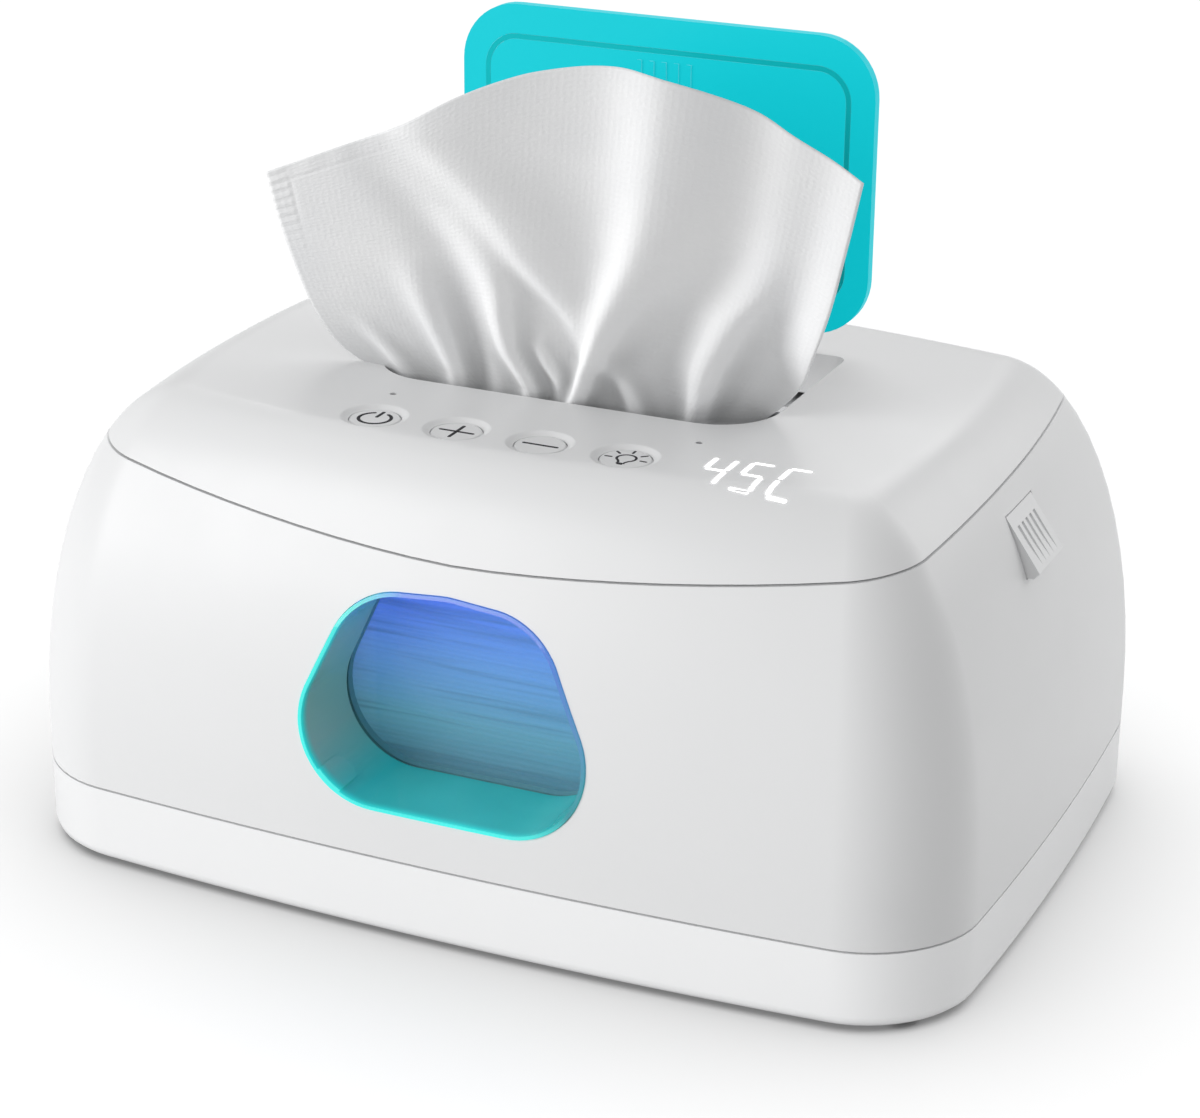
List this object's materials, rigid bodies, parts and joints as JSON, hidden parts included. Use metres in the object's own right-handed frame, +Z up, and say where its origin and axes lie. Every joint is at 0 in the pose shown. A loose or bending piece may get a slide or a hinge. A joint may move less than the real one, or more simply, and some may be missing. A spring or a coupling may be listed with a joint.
{
  "type": "baby wipe warmer",
  "caption": "Heated box for baby wipes with a hinged rounded cover, a flip lid over the dispensing opening, a bell-shaped tinted front window, push buttons and side latches.",
  "frame": {"origin": "centre of the footprint on the table, under the feet", "axes": "+X along the width towards the display end, +Y towards the rear hinge, +Z up"},
  "size_m": [0.23, 0.1651, 0.1832],
  "materials": {
    "white_shell": "satin moulded white",
    "liner_white": "plain moulded white",
    "teal_lid": "satin moulded teal",
    "teal_seal": "smooth silicone",
    "teal_tint": "clear tinted, polished",
    "clear_pane": "clear, polished",
    "silicone": "smooth silicone",
    "foot_rubber": "soft matt",
    "steel": "zinc plated",
    "spreader": "rolled sheet",
    "film": "amber film",
    "foam": "closed-cell foam",
    "dark_plastic": "moulded dark",
    "board": "solder mask",
    "wire": "insulation",
    "ribbon": "flat cable",
    "led": "diffused",
    "wipe": "damp nonwoven cloth"
  },
  "bodies": {
    "housing": {"base_tray": "white_shell", "base_feet": "foot_rubber", "base_screws": "steel", "body_shell": "white_shell", "window_sleeve": "teal_tint", "window_pane": "clear_pane", "window_seal": "silicone", "inner_bin": "liner_white", "heater_plate": "spreader", "heater_film": "film", "insulation_pad": "foam", "thermal_cutout": "spreader", "temperature_sensor": "dark_plastic", "power_board": "board", "power_components": "dark_plastic", "power_board_screws": "steel", "wiring": "wire", "night_light_board": "board", "night_light_leds": "led", "cord_gland": "foot_rubber", "cover_hinge_pins": "steel", "latch_spring_left": "steel", "latch_spring_right": "steel", "hinge_cable": "ribbon", "wipe_stack": "wipe", "cover_seal": "silicone"},
    "cover": {"top_cover": "white_shell", "cover_liner": "liner_white", "liner_screws": "steel", "control_board": "board", "control_board_screws": "steel", "tact_switches": "dark_plastic", "display_module": "dark_plastic", "light_pipes": "led", "cover_ribbon": "ribbon", "lid_hinge_pin": "steel", "top_wipe": "wipe"},
    "lid": {"flip_lid": "teal_lid", "lid_seal": "teal_seal"},
    "power_button": {"power_button": "white_shell"},
    "plus_button": {"plus_button": "white_shell"},
    "minus_button": {"minus_button": "white_shell"},
    "light_button": {"light_button": "white_shell"},
    "latch_left": {"latch_left": "white_shell"},
    "latch_right": {"latch_right": "white_shell"}
  },
  "joints": [
    {"name": "cover_hinge", "type": "hinge", "parent": "housing", "child": "cover", "pos_m": [0, 0.06993, 0.1008], "axis": [-1, 0, 0], "range_deg": [0, 90], "deforming": ["hinge_cable"]},
    {"name": "lid_hinge", "type": "hinge", "parent": "cover", "child": "lid", "pos_m": [0, 0.0383, 0.1122], "axis": [1, 0, 0], "range_deg": [0, 90], "deforming": ["top_wipe"]},
    {"name": "power_button_press", "type": "slide", "parent": "cover", "child": "power_button", "axis": [0, 0, -1], "range_m": [0, 0.0007], "stiffness_N_per_m": 400},
    {"name": "plus_button_press", "type": "slide", "parent": "cover", "child": "plus_button", "axis": [0, 0, -1], "range_m": [0, 0.0007], "stiffness_N_per_m": 400},
    {"name": "minus_button_press", "type": "slide", "parent": "cover", "child": "minus_button", "axis": [0, 0, -1], "range_m": [0, 0.0007], "stiffness_N_per_m": 400},
    {"name": "light_button_press", "type": "slide", "parent": "cover", "child": "light_button", "axis": [0, 0, -1], "range_m": [0, 0.0007], "stiffness_N_per_m": 400},
    {"name": "latch_left_press", "type": "slide", "parent": "housing", "child": "latch_left", "axis": [1, 0, 0], "range_m": [0, 0.0012], "stiffness_N_per_m": 500, "deforming": ["latch_spring_left"]},
    {"name": "latch_right_press", "type": "slide", "parent": "housing", "child": "latch_right", "axis": [-1, 0, 0], "range_m": [0, 0.0012], "stiffness_N_per_m": 500, "deforming": ["latch_spring_right"]}
  ]
}
